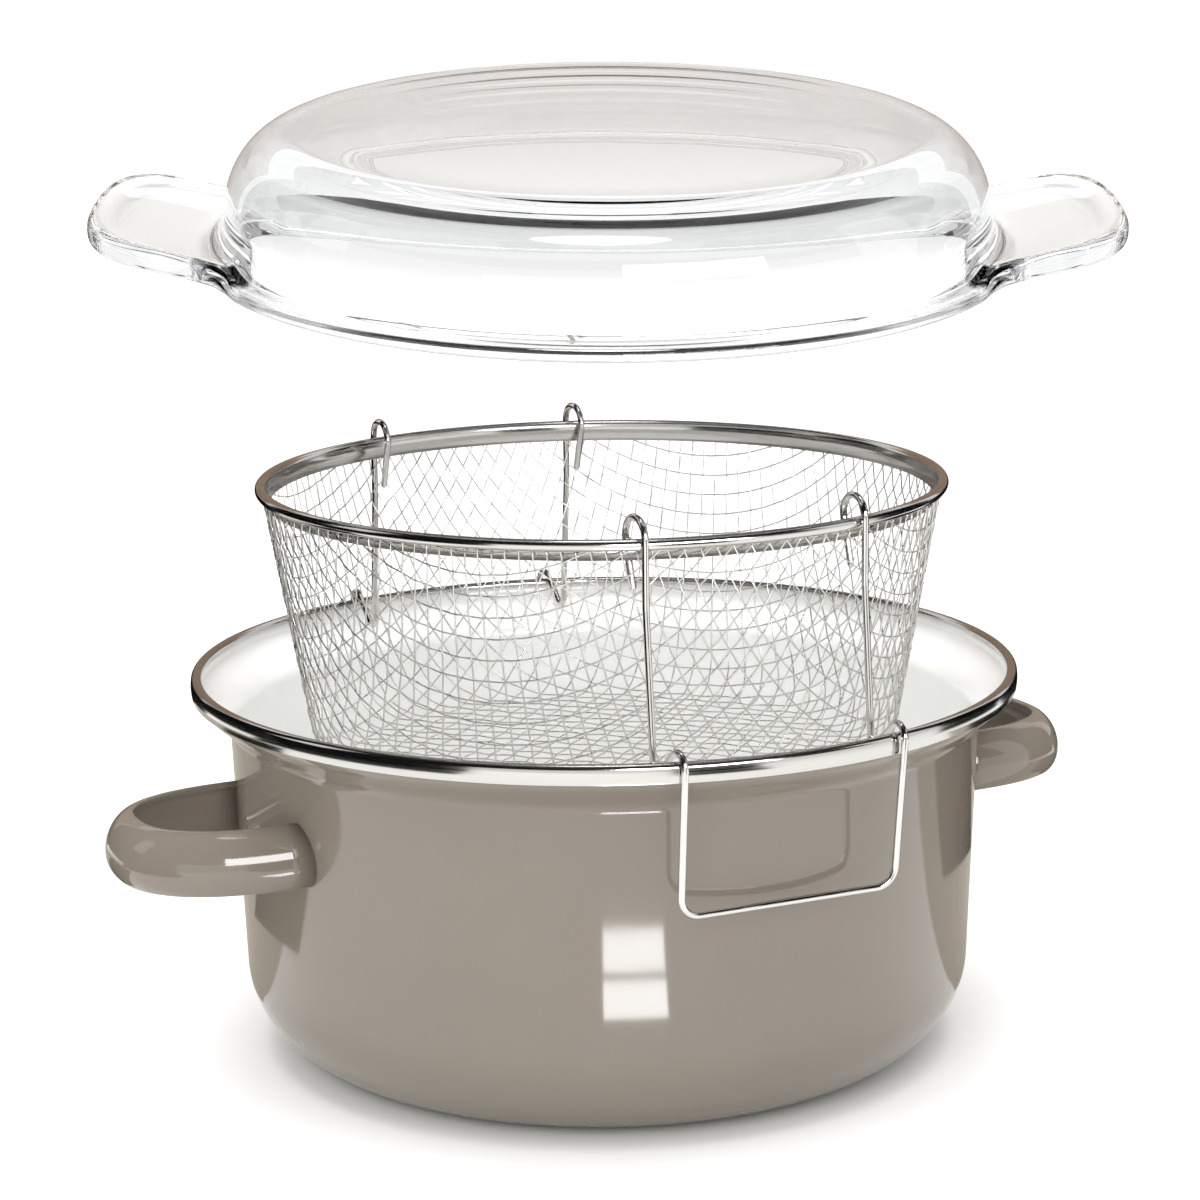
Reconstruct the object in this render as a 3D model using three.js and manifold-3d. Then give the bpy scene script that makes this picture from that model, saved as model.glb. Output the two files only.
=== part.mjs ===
// Deep fryer pot: an enamelled steel pan with a flared lip, a wire mesh chip basket
// hooked over the rim to drain, and a pressed glass lid lifted off above it.
// Millimetres, +Z up. The origin is the middle of the base, +X points to the right handle.
import * as THREE from 'three';
import { mergeVertices } from 'three/addons/utils/BufferGeometryUtils.js';
import Module from 'manifold-3d';

const wasm = await Module();
wasm.setup();

// Fits shared by every piece
const SEAT_GAP = 0.3;
const RING_SIDES = 36;

// Pot shell
const POT_HEIGHT = 120.6;
const POT_WALL = 1.4;
const POT_MOUTH_RADIUS = 118;
const POT_FOOT_TAPER = 3;
const POT_CORNER_RADIUS = 30;
const BASE_PANEL_RADIUS = 62;
const BASE_PANEL_SLOPE = 4;
const BASE_PANEL_RISE = 1;
const FLARE_HEIGHT = 13;
const FLARE_REACH = 10.9;
const LIP_HEIGHT = 3.6;
const CORNER_STEPS = 5;
const FLARE_STEPS = 5;

// Stainless ring crimped over the lip
const RING_WALL = 0.8;
const RING_HEIGHT = 6;
const RING_HEM = 1.8;

// Loop handles of the pot
const HANDLE_MID_HEIGHT = 80.2;
const HANDLE_SECTION_HEIGHT = 20.5;
const HANDLE_SECTION_DEPTH = 7.2;
const HANDLE_SHEET = 1.8;
const HANDLE_OVERHANG = 45;
const HANDLE_HALF_WIDTH = 35;
const HANDLE_SQUARENESS = 2.5;
const HANDLE_LIP_OPEN = 20;
const HANDLE_LEAN_DEGREES = 18;
const HANDLE_PATH_STEPS = 14;
const HANDLE_SECTION_STEPS = 7;

// Basket: height of its rim in the draining position, and its drawn cup
const BASKET_RIM_HEIGHT = 179.5;
const BASKET_DEPTH = 88;
const BASKET_WALL_RADIUS = 105.8;
const BASKET_TAPER_DEGREES = 10;
const BASKET_CORNER_RADIUS = 14;
const CELLS_TO_HOOK = 3;
const MESH_WIRE = 1.2;
const MESH_TURN_DEGREES = 45;
const HEM_TOP_DROP = 1.6;
const HEM_HEIGHT = 2.6;

// Rolled strip round the basket's edge, with its hoop wire
const CURL_RADIUS = 1.8;
const CURL_SHEET = 0.5;
const CURL_END_DEGREES = -60;
const CURL_STEPS = 6;
const BAND_DROP = 4.8;
const HOOP_RADIUS = 1;
const HOOP_SIDES = 6;

// Bent wire lift handles
const LIFT_WIRE_RADIUS = 1.05;
const LIFT_WIRE_SIDES = 6;
const LIFT_HALF_WIDTH = 35.5;
const HOOK_RISE = 5.6;
const HOOK_OUTER_GAP = 0.3;
const HOOK_WIDTH = 14.8;
const HOOK_BEND = 6;
const HOOK_TIP_DROP = 13.5;
const HOOK_TIP_GAP = 0.4;
const LEG_KINK_DROP = 18;
const LEG_KINK_BEND = 12;
const NOTCH_DEPTH = 9;
const NOTCH_BEND = 2.4;
const NOTCH_REACH = 20.5;
const SADDLE_RISE = 8.3;
const SADDLE_BEND = 4.2;
const SADDLE_GAP = 0.5;
const GRIP_DROP = 46;
const GRIP_LEAN_DEGREES = 6;
const GRIP_TOE_IN = 0.8;
const GRIP_BEND = 6;
const BEND_STEPS = 4;

// Glass lid, measured up from its seating face
const LID_SIDE_GAP = 0.8;
const LID_HEIGHT = 39.6;
const GLASS = 4.6;
const LID_FLANGE_THICKNESS = 3.7;
const LID_FLANGE_WIDTH = 7.2;
const LID_FLANGE_EDGE = 1.2;
const LID_WALL_LEAN = 1.2;
const LID_FOOT_FILLET = 3.6;
const LID_SHOULDER_START = 14;
const LID_TOP_RADIUS = 95.5;
const LID_CROWN = 7.6;
const SHOULDER_STEPS = 6;
const TAB_REACH = 157.8;
const TAB_HALF_WIDTH = 47;
const TAB_NECK_HALF_WIDTH = 56;
const TAB_THICKNESS = 6.4;
const TAB_EDGE = 1.8;
const TAB_LIFT_DEGREES = 13;
const TAB_CORNER_STEPS = 4;

// The lid as it is held above the basket: turned, tipped and lifted
const LID_HELD_HEIGHT = 251;
const LID_TURN_DEGREES = -25.3;
const LID_TIP_DEGREES = 8;
const LID_ROLL_DEGREES = 0.7;
const LID_HELD_ASIDE = 2.8;

const radians = THREE.MathUtils.degToRad;

// Finishes
const taupeEnamel = new THREE.MeshStandardMaterial({ color: '#978e83', roughness: 0.2, metalness: 0 });
const polishedSteel = new THREE.MeshStandardMaterial({ color: '#c9c7c4', roughness: 0.12, metalness: 1 });
const chromedWire = new THREE.MeshStandardMaterial({ color: '#b9b6b2', roughness: 0.2, metalness: 1 });
const clearGlass = new THREE.MeshStandardMaterial({
  color: '#eef1f0',
  roughness: 0.03,
  metalness: 0,
  transparent: true,
  opacity: 0.35,
});

// Shared shape helpers

/** A closed geometry with shared corners and no empty triangles, as a solid for booleans. */
function toSolid(geometry) {
  const bare = new THREE.BufferGeometry();
  bare.setAttribute('position', geometry.getAttribute('position'));
  if (geometry.index) bare.setIndex(geometry.index);
  const merged = mergeVertices(bare, 1e-4);
  const corners = merged.index.array;
  const kept = [];
  for (let i = 0; i < corners.length; i += 3) {
    const [a, b, c] = [corners[i], corners[i + 1], corners[i + 2]];
    if (a !== b && b !== c && c !== a) kept.push(a, b, c);
  }
  return new wasm.Manifold(new wasm.Mesh({
    numProp: 3,
    vertProperties: merged.getAttribute('position').array,
    triVerts: new Uint32Array(kept),
  }));
}

/** A solid back as a drawable geometry. */
function toGeometry(solid) {
  const mesh = solid.getMesh();
  const geometry = new THREE.BufferGeometry();
  geometry.setAttribute('position', new THREE.BufferAttribute(new Float32Array(mesh.vertProperties), 3));
  geometry.setIndex(new THREE.BufferAttribute(new Uint32Array(mesh.triVerts), 1));
  geometry.computeVertexNormals();
  return geometry;
}

/** A profile of (radius, height) points turned round +Z. */
function revolve(profile) {
  const points = profile.map(([radius, height]) => new THREE.Vector2(radius, height));
  return new THREE.LatheGeometry(points, RING_SIDES).rotateX(Math.PI / 2);
}

/** Points of an elliptical arc in a profile, from one angle to another. */
function arc(radius, height, width, rise, startDegrees, endDegrees, steps) {
  return Array.from({ length: steps + 1 }, (_, i) => {
    const angle = radians(startDegrees + ((endDegrees - startDegrees) * i) / steps);
    return [radius + width * Math.cos(angle), height + rise * Math.sin(angle)];
  });
}

/** A profile moved sideways to its left by a distance, as the other face of a sheet. */
function offsetProfile(profile, distance) {
  return profile.map(([radius, height], i) => {
    const before = profile[Math.max(i - 1, 0)];
    const after = profile[Math.min(i + 1, profile.length - 1)];
    const along = new THREE.Vector2(after[0] - before[0], after[1] - before[1]).normalize();
    return [Math.max(radius - along.y * distance, 0), height + along.x * distance];
  });
}

/** A sheet revolved from its outer profile: the same line comes back inside by the sheet's thickness. */
function revolveSheet(outer, thickness) {
  const inner = offsetProfile(outer, thickness);
  inner[0][0] = 0;
  return revolve([...outer, ...inner.reverse()]);
}

/** A path through corner points with rounded bends, which lays its stations only where it turns. */
class BentPath extends THREE.Curve {
  constructor(corners) {
    super();
    this.stations = [];
    corners.forEach(({ at, bend }, i) => {
      if (!bend) {
        this.stations.push(at.clone());
        return;
      }
      const toBefore = corners[i - 1].at.clone().sub(at).normalize();
      const toAfter = corners[i + 1].at.clone().sub(at).normalize();
      const half = toBefore.angleTo(toAfter) / 2;
      const middle = toBefore.clone().add(toAfter).normalize().multiplyScalar(bend / Math.sin(half)).add(at);
      const start = at.clone().addScaledVector(toBefore, bend / Math.tan(half)).sub(middle);
      const end = at.clone().addScaledVector(toAfter, bend / Math.tan(half)).sub(middle);
      const turn = start.angleTo(end);
      for (let k = 0; k <= BEND_STEPS; k += 1) {
        const t = k / BEND_STEPS;
        const point = start.clone().multiplyScalar(Math.sin((1 - t) * turn) / Math.sin(turn));
        point.addScaledVector(end, Math.sin(t * turn) / Math.sin(turn));
        this.stations.push(point.add(middle));
      }
    });
  }

  get steps() {
    return this.stations.length - 1;
  }

  getPoint(t, target = new THREE.Vector3()) {
    return target.copy(this.stations[Math.round(t * this.steps)]);
  }

  getPointAt(t, target) {
    return this.getPoint(t, target);
  }

  getTangentAt(t, target = new THREE.Vector3()) {
    const i = Math.round(t * this.steps);
    const here = this.stations[i];
    const before = this.stations[Math.max(i - 1, 0)];
    const after = this.stations[Math.min(i + 1, this.steps)];
    const arriving = here.clone().sub(before).normalize();
    const leaving = after.clone().sub(here).normalize();
    return target.copy(arriving).add(leaving).normalize();
  }
}

/** A section swept along a bent path. */
function sweep(section, path) {
  return new THREE.ExtrudeGeometry(section, { extrudePath: path, steps: path.steps, bevelEnabled: false });
}

/** A regular polygon standing for a round wire. */
function roundSection(radius, sides) {
  const corners = Array.from({ length: sides }, (_, i) => {
    const angle = (2 * Math.PI * (i + 0.5)) / sides;
    return new THREE.Vector2(radius * Math.cos(angle), radius * Math.sin(angle));
  });
  return new THREE.Shape(corners);
}

function named(name, geometry, material) {
  const mesh = new THREE.Mesh(geometry, material);
  mesh.name = name;
  return mesh;
}

// Pot shell: pressed base panel, round corner, leaning wall, S-shaped flare and upright lip
const footRadius = POT_MOUTH_RADIUS - POT_FOOT_TAPER;
const flareBottom = POT_HEIGHT - LIP_HEIGHT - FLARE_HEIGHT;
const lipRadius = POT_MOUTH_RADIUS + FLARE_REACH;

const flare = Array.from({ length: FLARE_STEPS + 1 }, (_, i) => {
  const t = i / FLARE_STEPS;
  return [POT_MOUTH_RADIUS + FLARE_REACH * THREE.MathUtils.smoothstep(t, 0, 1), flareBottom + FLARE_HEIGHT * t];
});

const potOuter = [
  [0, BASE_PANEL_RISE],
  [BASE_PANEL_RADIUS, BASE_PANEL_RISE],
  [BASE_PANEL_RADIUS + BASE_PANEL_SLOPE, 0],
  ...arc(
    footRadius - POT_CORNER_RADIUS, POT_CORNER_RADIUS,
    POT_CORNER_RADIUS, POT_CORNER_RADIUS, -90, 0, CORNER_STEPS,
  ),
  ...flare,
  [lipRadius, POT_HEIGHT],
];

/** Outer radius of the pot's wall between its corner and its flare. */
function potWallRadius(height) {
  const share = (height - POT_CORNER_RADIUS) / (flareBottom - POT_CORNER_RADIUS);
  return footRadius + POT_FOOT_TAPER * share;
}

// Stainless ring: an upside-down channel that takes the lip between its band and its hem
const ringRadius = lipRadius + SEAT_GAP + RING_WALL;
const ringTop = POT_HEIGHT + SEAT_GAP + RING_WALL;
const ringInnerRadius = lipRadius - POT_WALL - SEAT_GAP - RING_WALL;

function ringProfile() {
  const bandInside = ringRadius - RING_WALL;
  const hemOutside = ringInnerRadius + RING_WALL;
  const inside = ringTop - RING_WALL;
  const chamfer = RING_WALL / 2;
  return [
    [bandInside, ringTop - RING_HEIGHT],
    [ringRadius, ringTop - RING_HEIGHT],
    [ringRadius, ringTop - chamfer],
    [ringRadius - chamfer, ringTop],
    [ringInnerRadius + chamfer, ringTop],
    [ringInnerRadius, ringTop - chamfer],
    [ringInnerRadius, ringTop - RING_HEM],
    [hemOutside, ringTop - RING_HEM],
    [hemOutside, inside],
    [bandInside, inside],
    [bandInside, ringTop - RING_HEIGHT],
  ];
}

// Pot handles: a shallow pressed channel, open on its inner side, leaning outwards and swept round a loop
function channelSection() {
  const face = (height, depth) => arc(
    0, 0, height, -depth, HANDLE_LIP_OPEN, 180 - HANDLE_LIP_OPEN, HANDLE_SECTION_STEPS,
  );
  const outer = face(HANDLE_SECTION_HEIGHT / 2, HANDLE_SECTION_DEPTH);
  const inner = face(HANDLE_SECTION_HEIGHT / 2 - HANDLE_SHEET, HANDLE_SECTION_DEPTH - HANDLE_SHEET);
  const middle = new THREE.Vector2();
  const leaning = [...outer, ...inner.reverse()].map(([x, y]) => (
    new THREE.Vector2(x, y).rotateAround(middle, radians(HANDLE_LEAN_DEGREES))
  ));
  return new THREE.Shape(leaning);
}

function loopHandle(side) {
  const tip = POT_MOUTH_RADIUS + HANDLE_OVERHANG - HANDLE_SECTION_DEPTH;
  const half = HANDLE_HALF_WIDTH - HANDLE_SECTION_DEPTH;
  const root = Math.sqrt(POT_MOUTH_RADIUS ** 2 - half ** 2);
  const power = 2 / HANDLE_SQUARENESS;
  const loop = Array.from({ length: HANDLE_PATH_STEPS + 1 }, (_, i) => {
    const angle = Math.PI * (i / HANDLE_PATH_STEPS - 0.5);
    const out = root + (tip - root) * Math.cos(angle) ** power;
    const across = half * Math.sign(angle) * Math.abs(Math.sin(angle)) ** power;
    return { at: new THREE.Vector3(side * out, side * across, HANDLE_MID_HEIGHT) };
  });
  const buried = (across) => ({
    at: new THREE.Vector3(side * (root - POT_CORNER_RADIUS), side * across, HANDLE_MID_HEIGHT),
  });
  const path = new BentPath([buried(-half), ...loop, buried(half)]);
  const potEnvelope = offsetProfile(potOuter, -SEAT_GAP);
  potEnvelope[0][0] = 0;
  const envelope = toSolid(revolve([...potEnvelope, [0, POT_HEIGHT]]));
  return toGeometry(toSolid(sweep(channelSection(), path)).subtract(envelope));
}

// Basket cup: a flat floor, a round corner and a leaning wall, measured along its middle surface
const taper = radians(BASKET_TAPER_DEGREES);
const floorHeight = BASKET_RIM_HEIGHT - BASKET_DEPTH;
const cornerTurn = Math.PI / 2 - taper;
const cornerLength = BASKET_CORNER_RADIUS * cornerTurn;
const wallFootHeight = BASKET_CORNER_RADIUS * (1 - Math.cos(cornerTurn));

/** Radius of the basket's wall at a drop below the rim's middle. */
function basketWallRadius(drop) {
  return BASKET_WALL_RADIUS - drop * Math.tan(taper);
}

const wallFootRadius = basketWallRadius(BASKET_DEPTH - wallFootHeight);
const floorRadius = wallFootRadius - BASKET_CORNER_RADIUS * Math.sin(cornerTurn);

/** Distance from the middle of the flat cloth to a drop below the rim, over the corner and up the wall. */
function clothReach(drop) {
  return floorRadius + cornerLength + (BASKET_DEPTH - drop - wallFootHeight) / Math.cos(taper);
}

// The wires are spaced so that each hook tip comes to the middle of a gap in the cloth
const curlRadius = BASKET_WALL_RADIUS + CURL_RADIUS - CURL_SHEET - MESH_WIRE / 2 - SEAT_GAP;
const hookAngle = Math.acos(LIFT_HALF_WIDTH / curlRadius) - radians(MESH_TURN_DEGREES);
const wirePitch = (clothReach(HOOK_TIP_DROP) * Math.sin(hookAngle)) / (CELLS_TO_HOOK + 0.5);

/** Where a distance from the middle of the flat cloth ends up on the drawn cup, and the way out of it. */
function cupStation(distance) {
  if (distance <= floorRadius) return { radius: distance, height: floorHeight, lean: 0 };
  const lean = Math.min((distance - floorRadius) / BASKET_CORNER_RADIUS, cornerTurn);
  const climb = Math.max(distance - floorRadius - cornerLength, 0);
  return {
    radius: floorRadius + BASKET_CORNER_RADIUS * Math.sin(lean) + climb * Math.sin(taper),
    height: floorHeight + BASKET_CORNER_RADIUS * (1 - Math.cos(lean)) + climb * Math.cos(taper),
    lean,
  };
}

/** A point of the flat cloth draped on the cup, moved out of its surface by a lift. */
function drape(across, along, lift) {
  const { radius, height, lean } = cupStation(Math.hypot(across, along));
  const angle = Math.atan2(along, across) + radians(MESH_TURN_DEGREES);
  const out = radius + lift * Math.sin(lean);
  return [out * Math.cos(angle), out * Math.sin(angle), height - lift * Math.cos(lean)];
}

/** Woven wire cloth drawn into the cup: wires of triangular section that meet in a crown at every crossing. */
function drapedCloth(reach) {
  const positions = [];
  const triangles = [];
  const half = MESH_WIRE / 2;
  const span = Math.ceil(reach / wirePitch);
  const crossings = new Map();
  const key = (i, j) => `${i},${j}`;
  const corners = [[-1, -1], [1, -1], [1, 1], [-1, 1]];
  for (let i = -span; i <= span; i += 1) {
    for (let j = -span; j <= span; j += 1) {
      const [across, along] = [i * wirePitch, j * wirePitch];
      if (Math.hypot(across, along) > reach) continue;
      crossings.set(key(i, j), positions.length / 3);
      for (const [a, b] of corners) positions.push(...drape(across + a * half, along + b * half, -half));
      positions.push(...drape(across, along, half));
    }
  }
  const quad = (a, b, c, d) => triangles.push(a, b, c, a, c, d);
  const crown = (crossing) => crossing + corners.length;
  for (const [name, here] of crossings) {
    const [i, j] = name.split(',').map(Number);
    const next = [key(i, j - 1), key(i + 1, j), key(i, j + 1), key(i - 1, j)].map((k) => crossings.get(k));
    quad(here, here + 1, here + 2, here + 3);
    next.forEach((neighbour, side) => {
      if (neighbour === undefined) triangles.push(crown(here), here + ((side + 1) % 4), here + side);
    });
    const [, right, ahead] = next;
    if (right !== undefined) {
      quad(here + 1, right, right + 3, here + 2);
      quad(crown(here), crown(right), right, here + 1);
      quad(crown(right), crown(here), here + 2, right + 3);
    }
    if (ahead !== undefined) {
      quad(here + 3, here + 2, ahead + 1, ahead);
      quad(crown(here), crown(ahead), ahead + 1, here + 2);
      quad(crown(ahead), crown(here), here + 3, ahead);
    }
  }
  const geometry = new THREE.BufferGeometry();
  geometry.setAttribute('position', new THREE.Float32BufferAttribute(positions, 3));
  geometry.setIndex(triangles);
  return geometry;
}

/** The cloth trimmed level under the rim, its wire ends held by a hem. */
function basketMesh() {
  const trimDrop = HEM_TOP_DROP + HEM_HEIGHT / 2;
  const reach = clothReach(trimDrop) + 2 * wirePitch;
  const trimHeight = BASKET_DEPTH;
  const keep = new THREE.CylinderGeometry(2 * BASKET_WALL_RADIUS, 2 * BASKET_WALL_RADIUS, trimHeight, RING_SIDES)
    .rotateX(Math.PI / 2)
    .translate(0, 0, BASKET_RIM_HEIGHT - trimDrop - trimHeight / 2);
  const half = MESH_WIRE / 2;
  const hemLine = [HEM_TOP_DROP, HEM_TOP_DROP + HEM_HEIGHT];
  const hemFace = (drop, side) => [basketWallRadius(drop) + side * half, BASKET_RIM_HEIGHT - drop];
  const [top, bottom] = hemLine;
  const hem = revolve([
    hemFace(bottom, -1), hemFace(bottom, 1), hemFace(top, 1), hemFace(top, -1), hemFace(bottom, -1),
  ]);
  return toGeometry(toSolid(drapedCloth(reach)).intersect(toSolid(keep)).add(toSolid(hem)));
}

// Rolled strip: a band inside the cloth whose top curls out and down over the hoop wire
const bandOuterRadius = basketWallRadius(BAND_DROP) - MESH_WIRE / 2 - SEAT_GAP;
const bandInnerRadius = bandOuterRadius - CURL_SHEET;

function rimStripProfile() {
  const bandBottom = BASKET_RIM_HEIGHT - BAND_DROP;
  const curl = (radius, start, end) => arc(
    curlRadius, BASKET_RIM_HEIGHT, radius, radius, start, end, CURL_STEPS,
  );
  return [
    [bandInnerRadius, bandBottom],
    [bandOuterRadius, bandBottom],
    ...curl(CURL_RADIUS - CURL_SHEET, 180, CURL_END_DEGREES),
    ...curl(CURL_RADIUS, CURL_END_DEGREES, 180),
    [bandInnerRadius, bandBottom],
  ];
}

function hoopProfile() {
  const step = 360 / HOOP_SIDES / 2;
  return arc(curlRadius, BASKET_RIM_HEIGHT, HOOP_RADIUS, HOOP_RADIUS, -step, 360 - step, HOOP_SIDES);
}

// Lift handle: hook tip, arch over the basket rim, leg, notch inside the pot, saddle over its rim, grip
function liftHandle(side) {
  const chord = (radius) => Math.sqrt(radius ** 2 - LIFT_HALF_WIDTH ** 2);
  const slant = curlRadius / chord(curlRadius);
  const rimAway = chord(curlRadius);
  const outerLeg = rimAway + CURL_RADIUS * slant + HOOK_OUTER_GAP + LIFT_WIRE_RADIUS;
  const innerLeg = outerLeg - HOOK_WIDTH;
  const clothInside = basketWallRadius(HOOK_TIP_DROP) - MESH_WIRE / 2;
  const tipAway = chord(clothInside) - (LIFT_WIRE_RADIUS + HOOK_TIP_GAP) * slant;
  const pastRing = chord(ringRadius) + SADDLE_GAP + LIFT_WIRE_RADIUS;
  const gripLean = Math.tan(radians(GRIP_LEAN_DEGREES));
  const saddleAway = pastRing + (SADDLE_RISE + RING_HEIGHT) * gripLean;
  const notchAway = saddleAway - NOTCH_REACH;
  const gripAway = pastRing - (GRIP_DROP - RING_HEIGHT) * gripLean;
  const half = LIFT_HALF_WIDTH;
  const narrow = LIFT_HALF_WIDTH - GRIP_TOE_IN;
  const archTop = BASKET_RIM_HEIGHT + CURL_RADIUS + HOOK_RISE;
  const arm = [
    [half, tipAway, BASKET_RIM_HEIGHT - HOOK_TIP_DROP, 0],
    [half, innerLeg, archTop, HOOK_BEND],
    [half, outerLeg, archTop, HOOK_BEND],
    [half, outerLeg, BASKET_RIM_HEIGHT - LEG_KINK_DROP, LEG_KINK_BEND],
    [half, notchAway, ringTop - NOTCH_DEPTH, NOTCH_BEND],
    [half, saddleAway, ringTop + SADDLE_RISE, SADDLE_BEND],
    [narrow, gripAway, ringTop - GRIP_DROP, GRIP_BEND],
  ];
  const corner = ([x, away, height, bend], mirror) => ({
    at: new THREE.Vector3(side * mirror * x, side * away, height),
    bend,
  });
  const there = arm.map((point) => corner(point, 1));
  const back = arm.map((point) => corner(point, -1)).reverse();
  return sweep(roundSection(LIFT_WIRE_RADIUS, LIFT_WIRE_SIDES), new BentPath([...there, ...back]));
}

// Glass lid: flange, leaning wall, round shoulder and a thick flat top
const lidRadius = ringInnerRadius - LID_SIDE_GAP;

function lidShell() {
  const wallFoot = lidRadius - LID_FLANGE_WIDTH;
  const shoulderRadius = wallFoot - LID_WALL_LEAN;
  const outer = [
    [lidRadius - LID_FLANGE_EDGE, 0],
    [lidRadius, LID_FLANGE_EDGE],
    [lidRadius, LID_FLANGE_THICKNESS - LID_FLANGE_EDGE],
    [lidRadius - LID_FLANGE_EDGE, LID_FLANGE_THICKNESS],
    [wallFoot + LID_FOOT_FILLET, LID_FLANGE_THICKNESS],
    [wallFoot, LID_FLANGE_THICKNESS + LID_FOOT_FILLET],
    ...arc(
      LID_TOP_RADIUS, LID_SHOULDER_START,
      shoulderRadius - LID_TOP_RADIUS, LID_HEIGHT - LID_SHOULDER_START, 0, 90, SHOULDER_STEPS,
    ),
    [0, LID_HEIGHT],
  ];
  const ceiling = LID_HEIGHT - LID_CROWN;
  const inner = [
    [0, ceiling],
    ...arc(
      LID_TOP_RADIUS, LID_SHOULDER_START,
      shoulderRadius - LID_TOP_RADIUS - GLASS, ceiling - LID_SHOULDER_START, 90, 0, SHOULDER_STEPS,
    ),
    [wallFoot - GLASS, LID_FLANGE_EDGE],
    [wallFoot - GLASS + LID_FLANGE_EDGE, 0],
    [lidRadius - LID_FLANGE_EDGE, 0],
  ];
  return revolve([...outer, ...inner]);
}

/** One tab handle: a broad plate that rises outwards from the flange, with rounded edges. */
function lidTab() {
  const wallMiddle = lidRadius - LID_FLANGE_WIDTH - GLASS / 2;
  const neckAngle = Math.asin(TAB_NECK_HALF_WIDTH / wallMiddle);
  const [reach, half] = [TAB_REACH - TAB_EDGE, TAB_HALF_WIDTH - TAB_EDGE];
  const neck = wallMiddle * Math.cos(neckAngle);
  const cornerAway = reach - half / 2;
  const shape = new THREE.Shape();
  shape.moveTo(neck, -TAB_NECK_HALF_WIDTH);
  shape.quadraticCurveTo((neck + cornerAway) / 2, -half, cornerAway, -half);
  shape.bezierCurveTo(reach - TAB_EDGE, -half, reach, -half / 2, reach, 0);
  shape.bezierCurveTo(reach, half / 2, reach - TAB_EDGE, half, cornerAway, half);
  shape.quadraticCurveTo((neck + cornerAway) / 2, half, neck, TAB_NECK_HALF_WIDTH);
  shape.absarc(0, 0, wallMiddle, neckAngle, -neckAngle, true);
  const plate = new THREE.ExtrudeGeometry(shape, {
    depth: TAB_THICKNESS - 2 * TAB_EDGE,
    bevelThickness: TAB_EDGE,
    bevelSize: TAB_EDGE,
    bevelSegments: 1,
    curveSegments: TAB_CORNER_STEPS,
  });
  return plate
    .translate(-wallMiddle, 0, TAB_EDGE)
    .rotateY(-radians(TAB_LIFT_DEGREES))
    .translate(wallMiddle, 0, 0);
}

function glassLid() {
  const right = toSolid(lidTab());
  const left = toSolid(lidTab().rotateZ(Math.PI));
  return toGeometry(toSolid(lidShell()).add(right).add(left));
}

// The whole object
const fryer = new THREE.Group();

fryer.add(
  named('pot_shell', revolveSheet(potOuter, POT_WALL), taupeEnamel),
  named('rim_ring', revolve(ringProfile()), polishedSteel),
  named('right_handle', loopHandle(1), taupeEnamel),
  named('left_handle', loopHandle(-1), taupeEnamel),
  named('basket_mesh', basketMesh(), chromedWire),
  named('basket_rim', revolve(rimStripProfile()), polishedSteel),
  named('basket_hoop', revolve(hoopProfile()), chromedWire),
  named('front_lift_handle', liftHandle(-1), chromedWire),
  named('rear_lift_handle', liftHandle(1), chromedWire),
);

const heldLid = new THREE.Group();
const lidTurn = radians(LID_TURN_DEGREES);
heldLid.position.set(LID_HELD_ASIDE * Math.cos(lidTurn), LID_HELD_ASIDE * Math.sin(lidTurn), LID_HELD_HEIGHT);
heldLid.rotation.z = lidTurn;
const lid = named('glass_lid', glassLid(), clearGlass);
lid.rotation.set(radians(LID_TIP_DEGREES), radians(LID_ROLL_DEGREES), 0);
heldLid.add(lid);
fryer.add(heldLid);

export default fryer;
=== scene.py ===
"""Dress a deep fryer pot: enamelled pan, draining wire basket on bent wire handles, held glass lid.

Sizes are millimetres in the frame of the model and become metres when a mesh is made.
"""
import logging
import math
from collections.abc import Callable, Sequence
from dataclasses import dataclass, field
from enum import Enum

import bpy
from mathutils import Matrix, Vector


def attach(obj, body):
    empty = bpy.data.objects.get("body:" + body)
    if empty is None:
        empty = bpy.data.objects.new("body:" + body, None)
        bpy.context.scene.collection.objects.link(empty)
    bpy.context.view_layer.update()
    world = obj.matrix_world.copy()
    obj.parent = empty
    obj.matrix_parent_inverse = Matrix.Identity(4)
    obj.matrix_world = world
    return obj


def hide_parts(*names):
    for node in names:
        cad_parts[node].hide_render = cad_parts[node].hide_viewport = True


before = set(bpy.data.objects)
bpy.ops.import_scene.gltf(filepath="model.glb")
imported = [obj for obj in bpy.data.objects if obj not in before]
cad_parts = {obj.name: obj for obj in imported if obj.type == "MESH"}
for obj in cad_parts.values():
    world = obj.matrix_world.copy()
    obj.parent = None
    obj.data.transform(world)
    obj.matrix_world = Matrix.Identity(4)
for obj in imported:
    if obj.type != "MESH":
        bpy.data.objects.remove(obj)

log = logging.getLogger("deep_fryer_pot")
MM = 0.001
# A point of a profile nearer to the axis than this lies on it.
ON_AXIS = 1e-6
Point = tuple[float, float]
Profile = list[Point]
Faces = list[tuple[int, ...]]


class Body(str, Enum):
    """Rigid bodies of the model that pieces ride on."""

    POT = "pot"
    BASKET = "basket"
    FRONT_HANDLE = "front_handle"
    REAR_HANDLE = "rear_handle"
    LID = "lid"


class Slot(str, Enum):
    """Material slots of the record."""

    ENAMEL = "taupe_enamel"
    STEEL = "polished_steel"
    WIRE = "chromed_wire"
    GLASS = "clear_glass"


class Side(int, Enum):
    """Which way along its axis a mirrored piece points."""

    NEGATIVE = -1
    POSITIVE = 1


# Shape helpers


@dataclass(frozen=True)
class Corner:
    """A corner of a profile or path and the radius that rounds it."""

    at: Vector
    bend: float = 0.0


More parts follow.
